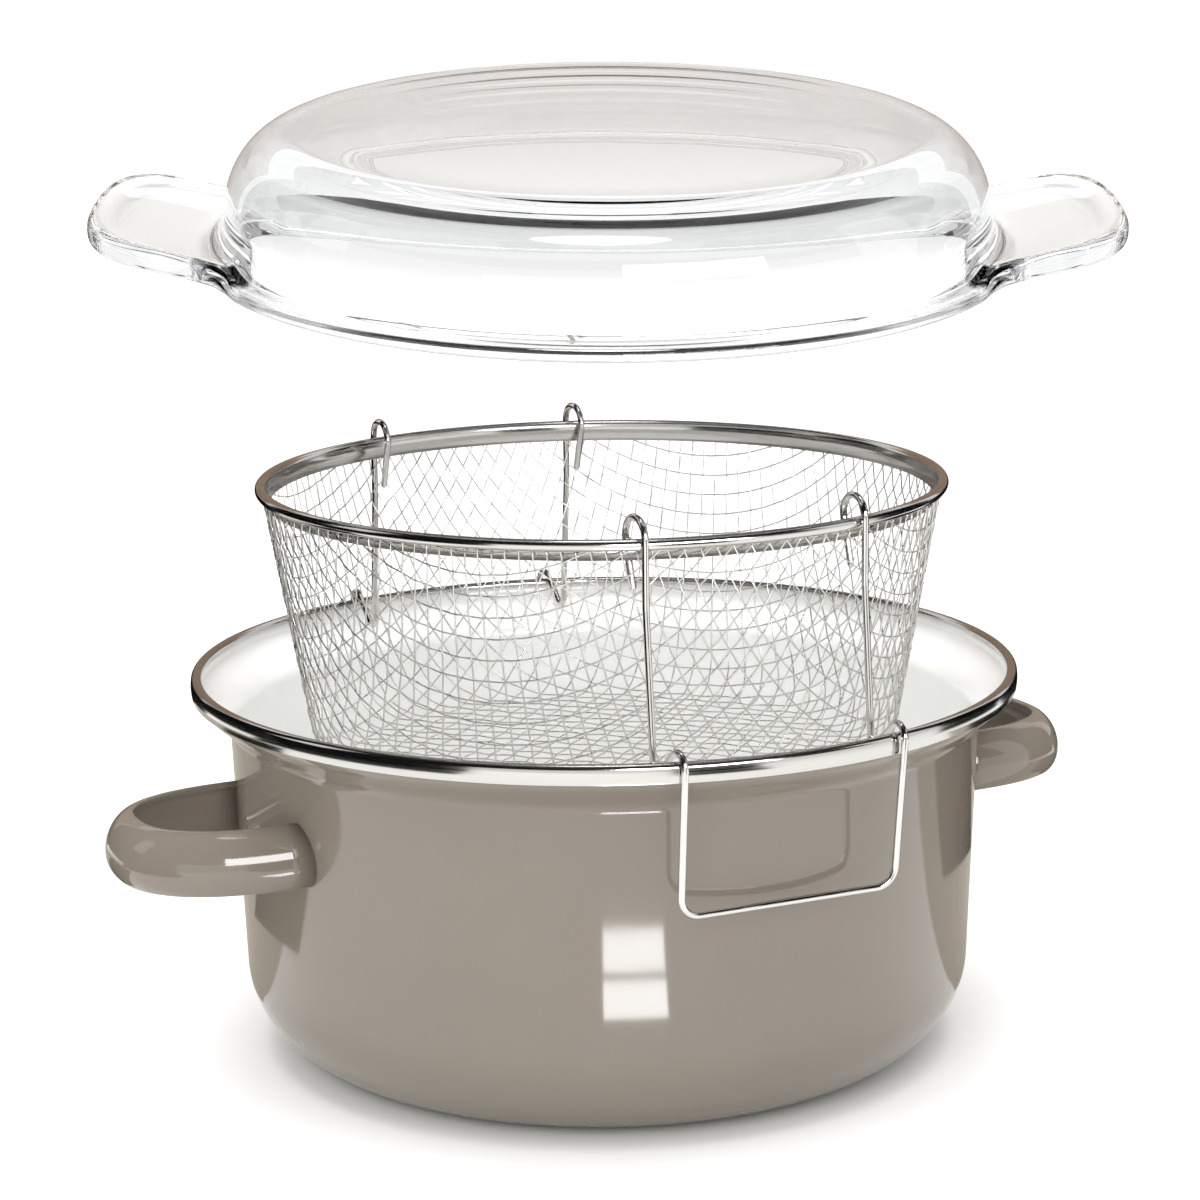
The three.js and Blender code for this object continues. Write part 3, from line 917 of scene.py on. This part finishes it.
@dataclass
class Basket:
    """Woven wire cup with a rolled steel edge."""

    rim_height: float = 179.5
    depth: float = 88.0
    wall_radius: float = 105.8
    taper_degrees: float = 10.0
    corner_radius: float = 14.0
    mesh_allowance: float = 1.2
    gap: float = 0.3
    curl_radius: float = 1.8
    curl_sheet: float = 0.5
    curl_end: float = -60.0
    curl_inner_steps: int = 24
    curl_outer_steps: int = 28
    band_drop: float = 4.8
    wire_radius: float = 0.25
    wire_sides: int = 6
    hook_half_width: float = 35.5
    hook_tip_drop: float = 13.5
    hook_press: float = 0.15
    press_top: Point = (1.5, 4.5)
    press_foot: Point = (15.5, 24.5)
    press_side: Point = (1.9, 5.5)
    cells_to_hook: int = 10
    cloth_turn: float = 45.0
    cloth_top: float = 1.0
    wire_end_gap: float = 0.4
    sides: int = 256

    def __post_init__(self) -> None:
        """Work out the sizes of the cup that follow from the others."""
        self.taper = math.radians(self.taper_degrees)
        self.floor_height = self.rim_height - self.depth
        self.corner_turn = math.pi / 2 - self.taper
        self.corner_length = self.corner_radius * self.corner_turn
        self.wall_foot = self.corner_radius * (1 - math.cos(self.corner_turn))
        foot_radius = self.radius_at(self.depth - self.wall_foot)
        self.floor_radius = foot_radius - self.corner_radius * math.sin(self.corner_turn)
        self.curl_middle = (
            self.wall_radius + self.curl_radius - self.curl_sheet - self.mesh_allowance / 2 - self.gap
        )
        hook_angle = math.acos(self.hook_half_width / self.curl_middle) - math.radians(self.cloth_turn)
        # The hook tips stand halfway between two wires.
        hook_reach = self.cloth_reach(self.hook_tip_drop) * math.sin(hook_angle)
        self.pitch = hook_reach / (self.cells_to_hook + 0.5)

    def radius_at(self, drop: float) -> float:
        """Give the radius of the cloth's middle at a drop below the middle of the rolled edge."""
        return self.wall_radius - drop * math.tan(self.taper)

    def cloth_reach(self, drop: float) -> float:
        """Give the way along the cloth from the middle of the floor to a drop below the rolled edge."""
        climb = (self.depth - drop - self.wall_foot) / math.cos(self.taper)
        return self.floor_radius + self.corner_length + climb

    def pressed(self, across: float, height: float) -> float:
        """Give how far the swinging hook tips have pressed the cloth out.

        Args:
            across: distance from the middle plane between the hooks.
            height: height on the wall.
        Returns:
            The bulge in millimetres.
        """
        drop = self.rim_height - height
        beside = abs(abs(across) - self.hook_half_width)
        fade = (1 - smooth_step(*self.press_foot, drop)) * (1 - smooth_step(*self.press_side, beside))
        return self.hook_press * drop * smooth_step(*self.press_top, drop) * fade

    def drape(self, across: float, along: float, lift: float) -> Vector:
        """Lay a point of the flat cloth on the cup.

        Args:
            across: first coordinate on the flat cloth.
            along: second coordinate.
            lift: how far out of the surface.
        Returns:
            The point.
        """
        distance = math.hypot(across, along)
        lean = min(max(distance - self.floor_radius, 0.0) / self.corner_radius, self.corner_turn)
        climb = max(distance - self.floor_radius - self.corner_length, 0.0)
        radius = min(distance, self.floor_radius) + self.corner_radius * math.sin(lean)
        radius += climb * math.sin(self.taper)
        height = self.floor_height + self.corner_radius * (1 - math.cos(lean))
        height += climb * math.cos(self.taper)
        angle = math.atan2(along, across) + math.radians(self.cloth_turn)
        out = radius + lift * math.sin(lean) + self.pressed(radius * math.cos(angle), height)
        return polar(out, angle, height - lift * math.cos(lean))

    def build(self, palette: Palette) -> None:
        """Make the woven cloth and the rolled edge."""
        self.build_cloth(palette)
        self.build_edge(palette)

    def build_cloth(self, palette: Palette) -> None:
        """Weave the cloth: wires both ways that pass over and under each other.

        Args:
            palette: the finishes.
        """
        reach = self.cloth_reach(self.cloth_top)
        lines = int(reach / self.pitch)
        shape = Shape()
        for way in (0, 1):
            for line in range(-lines, lines + 1):
                beside = line * self.pitch
                half = math.sqrt(max(reach**2 - beside**2, 0.0))
                # The edge holds no wire shorter than four cells.
                if half < 2 * self.pitch:
                    continue
                last = int(2 * half / self.pitch)
                stations = [k * self.pitch / 2 for k in range(-last, last + 1)]
                stations = [s for s in stations if half - abs(s) > self.wire_end_gap]
                path: list[Vector] = []
                for along in (-half, *stations, half):
                    wave = math.cos(math.pi * (along / self.pitch + line))
                    lift = self.wire_radius * wave * (1 if way == 0 else -1)
                    flat = (along, beside) if way == 0 else (beside, along)
                    path.append(self.drape(*flat, lift))
                tube(shape, path, self.wire_radius, self.wire_sides, cap_rows=0)
        cloth = shape.piece("basket_woven_cloth", [palette.cloth])
        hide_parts("basket_mesh")
        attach(cloth, Body.BASKET.value)

    def build_edge(self, palette: Palette) -> None:
        """Roll the steel strip over the edge of the cloth.

        Args:
            palette: the finishes.
        """
        outer = self.radius_at(self.band_drop) - self.mesh_allowance / 2 - self.gap
        inner = outer - self.curl_sheet
        bottom = self.rim_height - self.band_drop
        bore = self.curl_radius - self.curl_sheet
        inside = arc(
            self.curl_middle, self.rim_height, bore, bore, 180, self.curl_end, self.curl_inner_steps
        )
        outside = arc(
            self.curl_middle, self.rim_height, self.curl_radius, self.curl_radius,
            self.curl_end, 180, self.curl_outer_steps,
        )
        profile = [(inner, bottom), (outer, bottom), *inside, *outside]
        edge = revolved(profile, self.sides, closed=True).piece("basket_rolled_edge", [palette.steel])
        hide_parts("basket_rim")
        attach(edge, Body.BASKET.value)
        # The hoop inside the edge keeps the mesh of the solid.
        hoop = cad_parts["basket_hoop"]
        hoop.data.materials.clear()
        hoop.data.materials.append(palette.wire)


@dataclass
class LiftHandle:
    """Bent wire: hook tip, arch over the basket's edge, leg, notch, saddle over the pot's rim and grip."""

    basket: Basket
    ring: RimRing
    side: Side
    wire_radius: float = 1.05
    hook_rise: float = 5.6
    hook_outer_gap: float = 0.3
    hook_width: float = 14.8
    hook_bend: float = 6.0
    hook_tip_gap: float = 0.4
    kink_drop: float = 18.0
    kink_bend: float = 12.0
    notch_depth: float = 9.0
    notch_bend: float = 2.4
    notch_reach: float = 20.5
    saddle_rise: float = 8.3
    saddle_bend: float = 4.2
    saddle_gap: float = 0.5
    grip_drop: float = 46.0
    grip_lean: float = 6.0
    grip_toe_in: float = 0.8
    grip_bend: float = 6.0
    bend_steps: int = 10
    sides: int = 14

    def path(self) -> list[Vector]:
        """Lay out the middle of the wire.

        Returns:
            Its points from one hook tip to the other.
        """
        basket = self.basket
        top = self.ring.top
        half_width = basket.hook_half_width

        def chord(radius: float) -> float:
            """Give how far out a circle of a radius is at the handle's half width."""
            return math.sqrt(radius**2 - half_width**2)

        slant = basket.curl_middle / chord(basket.curl_middle)
        outer_leg = chord(basket.curl_middle) + basket.curl_radius * slant + self.hook_outer_gap
        outer_leg += self.wire_radius
        inside = basket.radius_at(basket.hook_tip_drop) - basket.mesh_allowance / 2
        tip = chord(inside) - (self.wire_radius + self.hook_tip_gap) * slant
        past_ring = chord(self.ring.radius) + self.saddle_gap + self.wire_radius
        lean = math.tan(math.radians(self.grip_lean))
        saddle = past_ring + (self.saddle_rise + self.ring.height) * lean
        grip = past_ring - (self.grip_drop - self.ring.height) * lean
        arch = basket.rim_height + basket.curl_radius + self.hook_rise
        narrow = half_width - self.grip_toe_in
        arm = [
            (half_width, tip, basket.rim_height - basket.hook_tip_drop, 0.0),
            (half_width, outer_leg - self.hook_width, arch, self.hook_bend),
            (half_width, outer_leg, arch, self.hook_bend),
            (half_width, outer_leg, basket.rim_height - self.kink_drop, self.kink_bend),
            (half_width, saddle - self.notch_reach, top - self.notch_depth, self.notch_bend),
            (half_width, saddle, top + self.saddle_rise, self.saddle_bend),
            (narrow, grip, top - self.grip_drop, self.grip_bend),
        ]
        turn = self.side.value
        there = [Corner(Vector((turn * x, turn * y, z)), bend) for x, y, z, bend in arm]
        back = [Corner(Vector((-turn * x, turn * y, z)), bend) for x, y, z, bend in reversed(arm)]
        return rounded([*there, *back], self.bend_steps)

    def build(self, palette: Palette) -> None:
        """Make the handle.

        Args:
            palette: the finishes.
        """
        shape = Shape()
        tube(shape, self.path(), self.wire_radius, self.sides)
        front = self.side is Side.NEGATIVE
        name = "front_lift_handle" if front else "rear_lift_handle"
        wire = shape.piece(f"{name}_wire", [palette.wire])
        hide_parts(name)
        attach(wire, (Body.FRONT_HANDLE if front else Body.REAR_HANDLE).value)


@dataclass
class Lid:
    """Pressed glass lid: flange with two rising tabs, leaning wall, round shoulder and thick flat top."""

    radius: float = 125.6
    height: float = 39.6
    glass: float = 4.6
    flange: float = 3.7
    flange_width: float = 7.2
    fillet: float = 3.6
    wall_lean: float = 1.2
    shoulder_start: float = 14.0
    top_radius: float = 95.5
    crown: float = 7.6
    tab_reach: float = 157.8
    tab_half_width: float = 47.0
    tab_neck: float = 56.0
    tab_thickness: float = 6.4
    tab_lift: float = 13.0
    tab_corner: float = 1.8
    tab_fade: Point = (0.86, 1.12)
    tab_lip: float = 0.8
    tab_lip_inset: float = 4.5
    tab_lip_width: float = 3.5
    tab_lip_start: Point = (126.0, 140.0)
    tab_blend: float = 9.0
    edge_inset: float = 2.4
    edge_low_inset: float = 2.0
    edge_bulge: float = 2.2
    edge_turn: float = 75.0
    edge_power: float = 0.8
    seat_start: float = 1.0
    seat_bend: float = 1.6
    seat_lean: float = 0.6
    held_height: float = 251.0
    held_aside: float = 2.8
    turn: float = -25.3
    tip: float = 8.0
    roll: float = 0.7
    fine_step: float = 0.5
    coarse_step: float = 1.0
    fine_sector: float = 34.0

    def __post_init__(self) -> None:
        """Lay out the tab's outline as (angle, radius) pairs from its middle to its neck."""
        wall_middle = self.radius - self.flange_width - self.glass / 2
        neck = math.sqrt(wall_middle**2 - self.tab_neck**2)
        away = self.tab_reach - self.tab_half_width / 2
        end = bezier(
            (self.tab_reach, 0), (self.tab_reach, self.tab_half_width / 2),
            (self.tab_reach - self.tab_corner, self.tab_half_width), (away, self.tab_half_width), 24,
        )
        between = (neck + away) / 2
        narrowing = self.tab_half_width - self.tab_neck
        side = bezier(
            (away, self.tab_half_width), (away + (between - away) * 2 / 3, self.tab_half_width),
            (neck + (between - neck) * 2 / 3, self.tab_neck + narrowing * 2 / 3),
            (neck, self.tab_neck), 16,
        )
        self.outline = [(math.atan2(y, x), math.hypot(x, y)) for x, y in [*end, *side[1:]]]

    def tab_outline(self, angle: float) -> float:
        """Give the radius of the tab's edge at an angle from its middle.

        Args:
            angle: angle from the tab's middle, in radians.
        Returns:
            The radius.
        """
        away = abs(angle)
        for (low, near), (high, far) in zip(self.outline, self.outline[1:]):
            if away <= high:
                return near + (far - near) * (away - low) / (high - low)
        return 0.0

    def section(self, angle: float) -> Profile:
        """Lay out the closed section at an angle round the lid.

        Args:
            angle: angle from the right tab's middle, in radians.
        Returns:
            (radius, height) points from the middle of the top, out, round the edge and back under it.
        """
        near = (angle + math.pi / 2) % math.pi - math.pi / 2
        reach = self.tab_outline(near)
        apart = max(self.tab_blend - abs(reach - self.radius), 0.0)
        edge = max(self.radius, reach) + apart**2 / (4 * self.tab_blend)
        neck = math.asin(self.tab_neck / self.radius)
        tab = 1 - smooth_step(neck * self.tab_fade[0], neck * self.tab_fade[1], abs(near))
        foot = self.radius - self.flange_width
        rise = math.tan(math.radians(self.tab_lift)) * tab

        def under(radius: float) -> float:
            """Give the height of the flange's lower face at a radius."""
            return max(radius - foot, 0.0) * rise

        def over(radius: float) -> float:
            """Give the height of the flange's upper face.

            Args:
                radius: distance from the lid's middle.
            Returns:
                The height.
            """
            thick = self.flange + (self.tab_thickness - self.flange) * tab
            from_crest = (edge - radius - self.tab_lip_inset) / self.tab_lip_width
            lip = self.tab_lip * tab * math.exp(-(from_crest**2)) * smooth_step(*self.tab_lip_start, edge)
            return under(radius) + thick + lip

        shoulder = foot - self.wall_lean
        ceiling = self.height - self.crown
        top = [(self.top_radius * k / 8, self.height) for k in range(9)]
        dome = arc(
            self.top_radius, self.shoulder_start, shoulder - self.top_radius,
            self.height - self.shoulder_start, 90, 0, 16,
        )
        wall_foot = over(foot + self.fillet) + self.fillet
        fillet = [
            (foot + self.fillet * (1 - math.cos(a)), wall_foot - self.fillet * math.sin(a))
            for a in (math.pi / 2 * k / 6 for k in range(7))
        ]
        span = edge - self.edge_inset - (foot + self.fillet)
        flat = [foot + self.fillet + span * k / 10 for k in range(1, 11)]
        plate = [(r, over(r)) for r in flat]
        low = under(edge - self.edge_low_inset)
        high = over(edge - self.edge_inset)
        half = (high - low) / 2
        middle = (high + low) / 2
        bulge = min(half, self.edge_bulge)
        rim: Profile = []
        for k in range(11):
            turn = math.radians(self.edge_turn - 2 * self.edge_turn * k / 10)
            out = edge - bulge + bulge * abs(math.cos(turn)) ** self.edge_power
            up = math.copysign(abs(math.sin(turn)) ** self.edge_power, turn)
            rim.append((out, middle + half * up))
        below = [(r, under(r)) for r in reversed(flat[:-1])]
        inner = foot - self.glass
        inner_top = inner - self.seat_lean
        seat = rounded_profile(
            [
                (foot + self.seat_start, 0, 0), (inner, 0, self.seat_bend),
                (inner_top, self.shoulder_start, 0),
            ],
            5,
        )
        vault = arc(
            self.top_radius, self.shoulder_start, inner_top - self.top_radius,
            ceiling - self.shoulder_start, 0, 90, 20,
        )
        return [*top, *dome[1:], *fillet, *plate, *rim, *below, *seat, *vault[1:], (0, ceiling)]

    def build(self, palette: Palette) -> None:
        """Make the lid in its held place.

        Args:
            palette: the finishes.
        """
        angles: list[float] = []
        degrees = 0.0
        while degrees < 360 - 1e-6:
            angles.append(math.radians(degrees))
            near = abs((degrees + 90) % 180 - 90)
            degrees += self.fine_step if near < self.fine_sector else self.coarse_step
        sections = [self.section(a) for a in angles]
        shape = Shape()
        rows: list[list[int]] = []
        for step, (radius, height) in enumerate(sections[0]):
            if radius < ON_AXIS:
                rows.append(shape.ring([Vector((0, 0, height))]))
                continue
            rows.append(shape.ring([polar(s[step][0], a, s[step][1]) for s, a in zip(sections, angles)]))
        for low, high in zip(rows, rows[1:]):
            shape.bridge(high, low)
        place = (
            Matrix.Rotation(math.radians(self.turn), 4, "Z")
            @ Matrix.Translation((self.held_aside, 0, self.held_height))
            @ Matrix.Rotation(math.radians(self.tip), 4, "X")
            @ Matrix.Rotation(math.radians(self.roll), 4, "Y")
        )
        lid = shape.piece("glass_lid_pressed", [palette.glass], place)
        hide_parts("glass_lid")
        # Clear glass would darken the basket and the pot below it.
        lid.visible_shadow = False
        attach(lid, Body.LID.value)


# Studio


@dataclass
class Studio:
    """Pale floor, soft lights and the camera at the photograph's place."""

    azimuth: float = -25.3
    distance: float = 1032.0
    eye_height: float = 363.7
    pitch: float = 12.18
    roll: float = 0.7
    focal_px: float = 3351.0
    centre_px: float = 603.0
    image_px: int = 1200
    sensor: float = 36.0
    floor_half: float = 30.0
    room_strength: float = 1.08
    card_steps: int = 12

    def build(self) -> None:
        """Make the camera, the floor and the lights."""
        self.build_camera()
        self.build_floor()
        self.build_world()
        self.build_lights()
        bpy.context.scene.view_settings.view_transform = "Standard"
        light_paths = bpy.context.scene.cycles
        light_paths.max_bounces = 32
        light_paths.glossy_bounces = 24
        light_paths.transmission_bounces = 32

    def toward_camera(self, along: float, aside: float, height: float) -> Vector:
        """Place a point relative to the line from the object to the camera.

        Args:
            along: metres from the axis towards the camera.
            aside: metres to the camera's right.
            height: metres above the floor.
        Returns:
            The point.
        """
        turn = math.radians(self.azimuth)
        out = Vector((math.sin(turn), -math.cos(turn), 0))
        right = Vector((math.cos(turn), math.sin(turn), 0))
        return out * along + right * aside + Vector((0, 0, height))

    def build_camera(self) -> None:
        """Make the camera and hand it to the scene."""
        data = bpy.data.cameras.new("studio_camera")
        data.sensor_width = self.sensor
        data.lens = self.sensor * self.focal_px / self.image_px
        data.shift_x = (self.image_px / 2 - self.centre_px) / self.image_px
        camera = bpy.data.objects.new("studio_camera", data)
        camera.location = self.toward_camera(self.distance * MM, 0, self.eye_height * MM)
        turn = Matrix.Rotation(math.radians(self.azimuth), 4, "Z")
        pitch = Matrix.Rotation(math.radians(90 - self.pitch), 4, "X")
        roll = Matrix.Rotation(math.radians(-self.roll), 4, "Z")
        camera.rotation_euler = (turn @ pitch @ roll).to_euler()
        bpy.context.scene.collection.objects.link(camera)
        bpy.context.scene.camera = camera

    def build_floor(self) -> None:
        """Make the floor."""
        half = self.floor_half / MM
        corners = ((-half, -half), (half, -half), (half, half), (-half, half))
        shape = Shape()
        shape.face(shape.ring([Vector((x, y, 0)) for x, y in corners]))
        floor = shape.piece("studio_floor", [Ground("studio_floor", "#fafaf9").material()])

    def build_world(self) -> None:
        """Light everything from a white room."""
        world = bpy.data.worlds.new("white_room")
        world.use_nodes = True
        tree = world.node_tree
        tree.nodes.clear()
        white = (1.0, 1.0, 1.0, 1.0)
        light = add_node(tree, "ShaderNodeBackground", {"Color": white, "Strength": self.room_strength})
        add_node(tree, "ShaderNodeOutputWorld", {"Surface": light.outputs[0]})
        bpy.context.scene.world = world

    def card(
        self, name: str, finish: Finish, edges: Sequence[Point], span: Point, refracted: bool = False
    ) -> None:
        """Stand a curved card that reflections show and the camera does not see.

        Args:
            name: its name.
            finish: its finish.
            edges: distance from the axis and height of each edge, in metres.
            span: first and last angle in degrees from the camera's side, positive to the camera's right.
            refracted: whether the glass shows it too.
        """
        shape = Shape()
        start, end = span
        steps = self.card_steps
        turns = [math.radians(start + (end - start) * k / steps) for k in range(steps + 1)]
        rows: list[list[int]] = []
        for reach, height in edges:
            row = [self.toward_camera(*polar(reach, a, height)) / MM for a in turns]
            rows.append(shape.ring(row))
        for low, high in zip(rows, rows[1:]):
            shape.bridge(low, high, closed=False)
        card = shape.piece(name, [finish.material()])
        card.visible_camera = False
        card.visible_diffuse = False
        card.visible_shadow = False
        card.visible_transmission = refracted

    def softbox(
        self, name: str, place: Vector, aim: Vector, size: Point, power: float
    ) -> bpy.types.Object:
        """Hang one soft light.

        Args:
            name: its name.
            place: where it hangs, in metres.
            aim: what it faces.
            size: its width and height in metres.
            power: its power in watts.
        Returns:
            The light.
        """
        data = bpy.data.lights.new(name, "AREA")
        data.shape = "RECTANGLE"
        data.size, data.size_y = size
        data.energy = power
        light = bpy.data.objects.new(name, data)
        light.location = place
        light.rotation_euler = (aim - place).to_track_quat("-Z", "Y").to_euler()
        bpy.context.scene.collection.objects.link(light)
        return light

    def build_lights(self) -> None:
        """Hang the soft lights and stand the cards that the reflections show."""
        self.softbox("top_light", Vector((0.0, 0.0, 2.4)), Vector((0, 0, 0)), (2.0, 2.0), 40)
        beside_camera = self.toward_camera(1.8, -0.5, 0.9)
        fill = self.softbox("front_fill", beside_camera, Vector((0, 0, 0.1)), (1.2, 1.2), 11)
        fill.visible_glossy = False
        fill.visible_transmission = False
        black = Ground("black_card", "#0a0a0a")
        dark = Ground("dark_card", "#141312")
        grey = Ground("grey_card", "#a3a3a1")
        shade = Ground("shade_card", "#aaa39a")
        warm = Ground("warm_card", "#7d6c5e")
        pane = Glow("window_pane", 15.0)
        self.card("front_card", dark, [(1.3, 0.42), (1.3, 1.3)], (-78, 74))
        self.card("rear_card", warm, [(1.5, 0.16), (1.5, 1.0)], (140, 222))
        self.card("rear_floor", black, [(0.45, 0.003), (1.5, 0.003), (1.5, 0.16)], (128, 232))
        self.card("back_floor", shade, [(0.125, 0.0025), (0.45, 0.0025)], (94, 268))
        self.card("left_back_floor", black, [(0.2, 0.003), (0.4, 0.003)], (-114, -84))
        self.card("right_back_floor", black, [(0.24, 0.003), (0.45, 0.003)], (104, 138))
        self.card("left_card", black, [(0.6, 0.0), (0.6, 1.1)], (-128, -92))
        self.card("right_card", black, [(0.6, 0.0), (0.6, 1.1)], (92, 124))
        self.card("left_glass_card", grey, [(0.61, 0.0), (0.61, 1.1)], (-128, -92), refracted=True)
        self.card("right_glass_card", grey, [(0.61, 0.0), (0.61, 1.1)], (92, 124), refracted=True)
        self.card("left_floor", black, [(0.43, 0.003), (1.28, 0.003), (1.28, 0.44)], (-98, -34))
        self.card("right_floor", black, [(0.45, 0.003), (1.28, 0.003), (1.28, 0.44)], (17, 39))
        self.card("low_pane", pane, [(0.198, 0.004), (0.222, 0.004)], (-1, 13))
        self.card("low_pane_far", pane, [(0.227, 0.004), (0.253, 0.004)], (-1, 13))
        self.card("handle_pane", pane, [(1.2, 0.34), (1.2, 0.7)], (4, 44))
        self.card("ceiling_card", dark, [(0.15, 1.1), (1.2, 1.1)], (0, 360), refracted=True)


def main() -> None:
    """Build the scene in order."""
    logging.basicConfig(level=logging.INFO, format="%(name)s %(message)s")
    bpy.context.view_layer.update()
    Studio().build()
    palette = Palette()
    pot = Pot()
    ring = RimRing(pot)
    basket = Basket()
    for piece in (
        pot, ring, LoopHandle(pot, Side.POSITIVE), LoopHandle(pot, Side.NEGATIVE), basket,
        LiftHandle(basket, ring, Side.NEGATIVE), LiftHandle(basket, ring, Side.POSITIVE), Lid(),
    ):
        piece.build(palette)
        log.info("built %s", type(piece).__name__)


if __name__ == "__main__":
    main()
